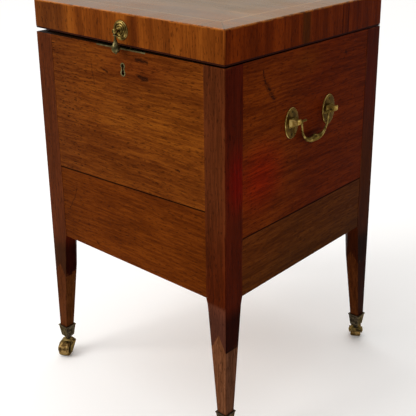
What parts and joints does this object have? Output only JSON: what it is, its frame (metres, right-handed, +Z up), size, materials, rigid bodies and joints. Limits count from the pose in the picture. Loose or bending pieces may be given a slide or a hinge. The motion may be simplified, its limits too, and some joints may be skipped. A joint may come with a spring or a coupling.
{
  "type": "cellarette",
  "caption": "Square mahogany cellarette: a hinged box for bottles on tapering legs with brass castors, drop pull, lock and carrying handles.",
  "frame": {"origin": "on the floor under the middle of the case", "axes": "+Z up, -Y the front with the lock, +X the right side"},
  "size_m": [0.4568, 0.4538, 0.687],
  "materials": {
    "board_wood": "waxed mahogany, horizontal grain",
    "stile_wood": "waxed mahogany, vertical grain",
    "tip_wood": "duller replacement mahogany",
    "lid_wood": "veneer with vertical grain, waxed",
    "lid_top_wood": "veneer, polished",
    "band_wood": "crossbanded veneer, polished",
    "inner_wood": "bare pine, oiled by age",
    "brass": "aged brass, worn bright on the edges",
    "cup_brass": "dark patinated brass",
    "wheel_brass": "brass polished by rolling",
    "iron": "dull iron"
  },
  "bodies": {
    "case": {"leg_front_left": "stile_wood", "leg_tip_front_left": "tip_wood", "castor_cup_front_left": "cup_brass", "leg_front_right": "stile_wood", "leg_tip_front_right": "tip_wood", "castor_cup_front_right": "cup_brass", "leg_rear_left": "stile_wood", "leg_tip_rear_left": "tip_wood", "castor_cup_rear_left": "cup_brass", "leg_rear_right": "stile_wood", "leg_tip_rear_right": "tip_wood", "castor_cup_rear_right": "cup_brass", "front_board_upper": "board_wood", "front_board_lower": "board_wood", "right_board_upper": "board_wood", "right_board_lower": "board_wood", "back_board_upper": "board_wood", "back_board_lower": "board_wood", "left_board_upper": "board_wood", "left_board_lower": "board_wood", "case_floor": "inner_wood", "divider_across_1": "inner_wood", "divider_across_2": "inner_wood", "divider_along_1": "inner_wood", "divider_along_2": "inner_wood", "hinge_leaves_case": "brass", "hinge_pins": "brass", "lock_plate": "brass", "escutcheon": "brass", "handle_plates": "brass", "screws_case": "brass", "lock_case": "iron"},
    "lid": {"lid_rail_front": "lid_wood", "lid_rail_right": "lid_wood", "lid_rail_back": "lid_wood", "lid_rail_left": "lid_wood", "lid_crossbanding": "band_wood", "lid_top_board": "lid_top_wood", "hinge_leaves_lid": "brass", "link_plate": "brass", "pull_rosette": "brass", "pull_post": "brass", "pull_pin": "brass", "screws_lid": "brass"},
    "bolt": {"lock_bolt": "brass"},
    "pull": {"pull_drop": "brass"},
    "handle_right": {"bail_right": "brass"},
    "handle_left": {"bail_left": "brass"},
    "castor_front_left": {"castor_fork_front_left": "brass", "castor_axle_front_left": "brass"},
    "wheel_front_left": {"castor_wheel_front_left": "wheel_brass"},
    "castor_front_right": {"castor_fork_front_right": "brass", "castor_axle_front_right": "brass"},
    "wheel_front_right": {"castor_wheel_front_right": "wheel_brass"},
    "castor_rear_left": {"castor_fork_rear_left": "brass", "castor_axle_rear_left": "brass"},
    "wheel_rear_left": {"castor_wheel_rear_left": "wheel_brass"},
    "castor_rear_right": {"castor_fork_rear_right": "brass", "castor_axle_rear_right": "brass"},
    "wheel_rear_right": {"castor_wheel_rear_right": "wheel_brass"}
  },
  "joints": [
    {"name": "lid_hinge", "type": "hinge", "parent": "case", "child": "lid", "pos_m": [0, 0.2115, 0.63235], "axis": [-1, 0, 0], "range_deg": [0, 95]},
    {"name": "bolt_slide", "type": "slide", "parent": "case", "child": "bolt", "axis": [1, 0, 0], "range_m": [0, 0.0055]},
    {"name": "pull_swing", "type": "hinge", "parent": "lid", "child": "pull", "pos_m": [0.003, -0.2202, 0.66], "axis": [-1, 0, 0], "range_deg": [-11, 95]},
    {"name": "handle_right_swing", "type": "hinge", "parent": "case", "child": "handle_right", "pos_m": [0.2218, 0.0028, 0.5162], "axis": [0, -1, 0], "range_deg": [-9, 189]},
    {"name": "handle_left_swing", "type": "hinge", "parent": "case", "child": "handle_left", "pos_m": [-0.2218, 0.0028, 0.5162], "axis": [0, 1, 0], "range_deg": [-9, 189]},
    {"name": "castor_swivel_front_left", "type": "hinge", "parent": "case", "child": "castor_front_left", "pos_m": [-0.2027, -0.1987, 0.0283], "axis": [0, 0, 1], "continuous": true},
    {"name": "wheel_roll_front_left", "type": "hinge", "parent": "castor_front_left", "child": "wheel_front_left", "pos_m": [-0.19566, -0.21194, 0.013], "axis": [0.8829, 0.4695, 0], "continuous": true},
    {"name": "castor_swivel_front_right", "type": "hinge", "parent": "case", "child": "castor_front_right", "pos_m": [0.2027, -0.1987, 0.0283], "axis": [0, 0, 1], "continuous": true},
    {"name": "wheel_roll_front_right", "type": "hinge", "parent": "castor_front_right", "child": "wheel_front_right", "pos_m": [0.19346, -0.21052, 0.013], "axis": [0.788, -0.6157, 0], "continuous": true},
    {"name": "castor_swivel_rear_left", "type": "hinge", "parent": "case", "child": "castor_rear_left", "pos_m": [-0.2027, 0.1987, 0.0283], "axis": [0, 0, 1], "continuous": true},
    {"name": "wheel_roll_rear_left", "type": "hinge", "parent": "castor_rear_left", "child": "wheel_rear_left", "pos_m": [-0.19266, 0.20985, 0.013], "axis": [-0.7431, 0.6691, 0], "continuous": true},
    {"name": "castor_swivel_rear_right", "type": "hinge", "parent": "case", "child": "castor_rear_right", "pos_m": [0.2027, 0.1987, 0.0283], "axis": [0, 0, 1], "continuous": true},
    {"name": "wheel_roll_rear_right", "type": "hinge", "parent": "castor_rear_right", "child": "wheel_rear_right", "pos_m": [0.1952, 0.21169, 0.013], "axis": [-0.866, -0.5, 0], "continuous": true}
  ]
}
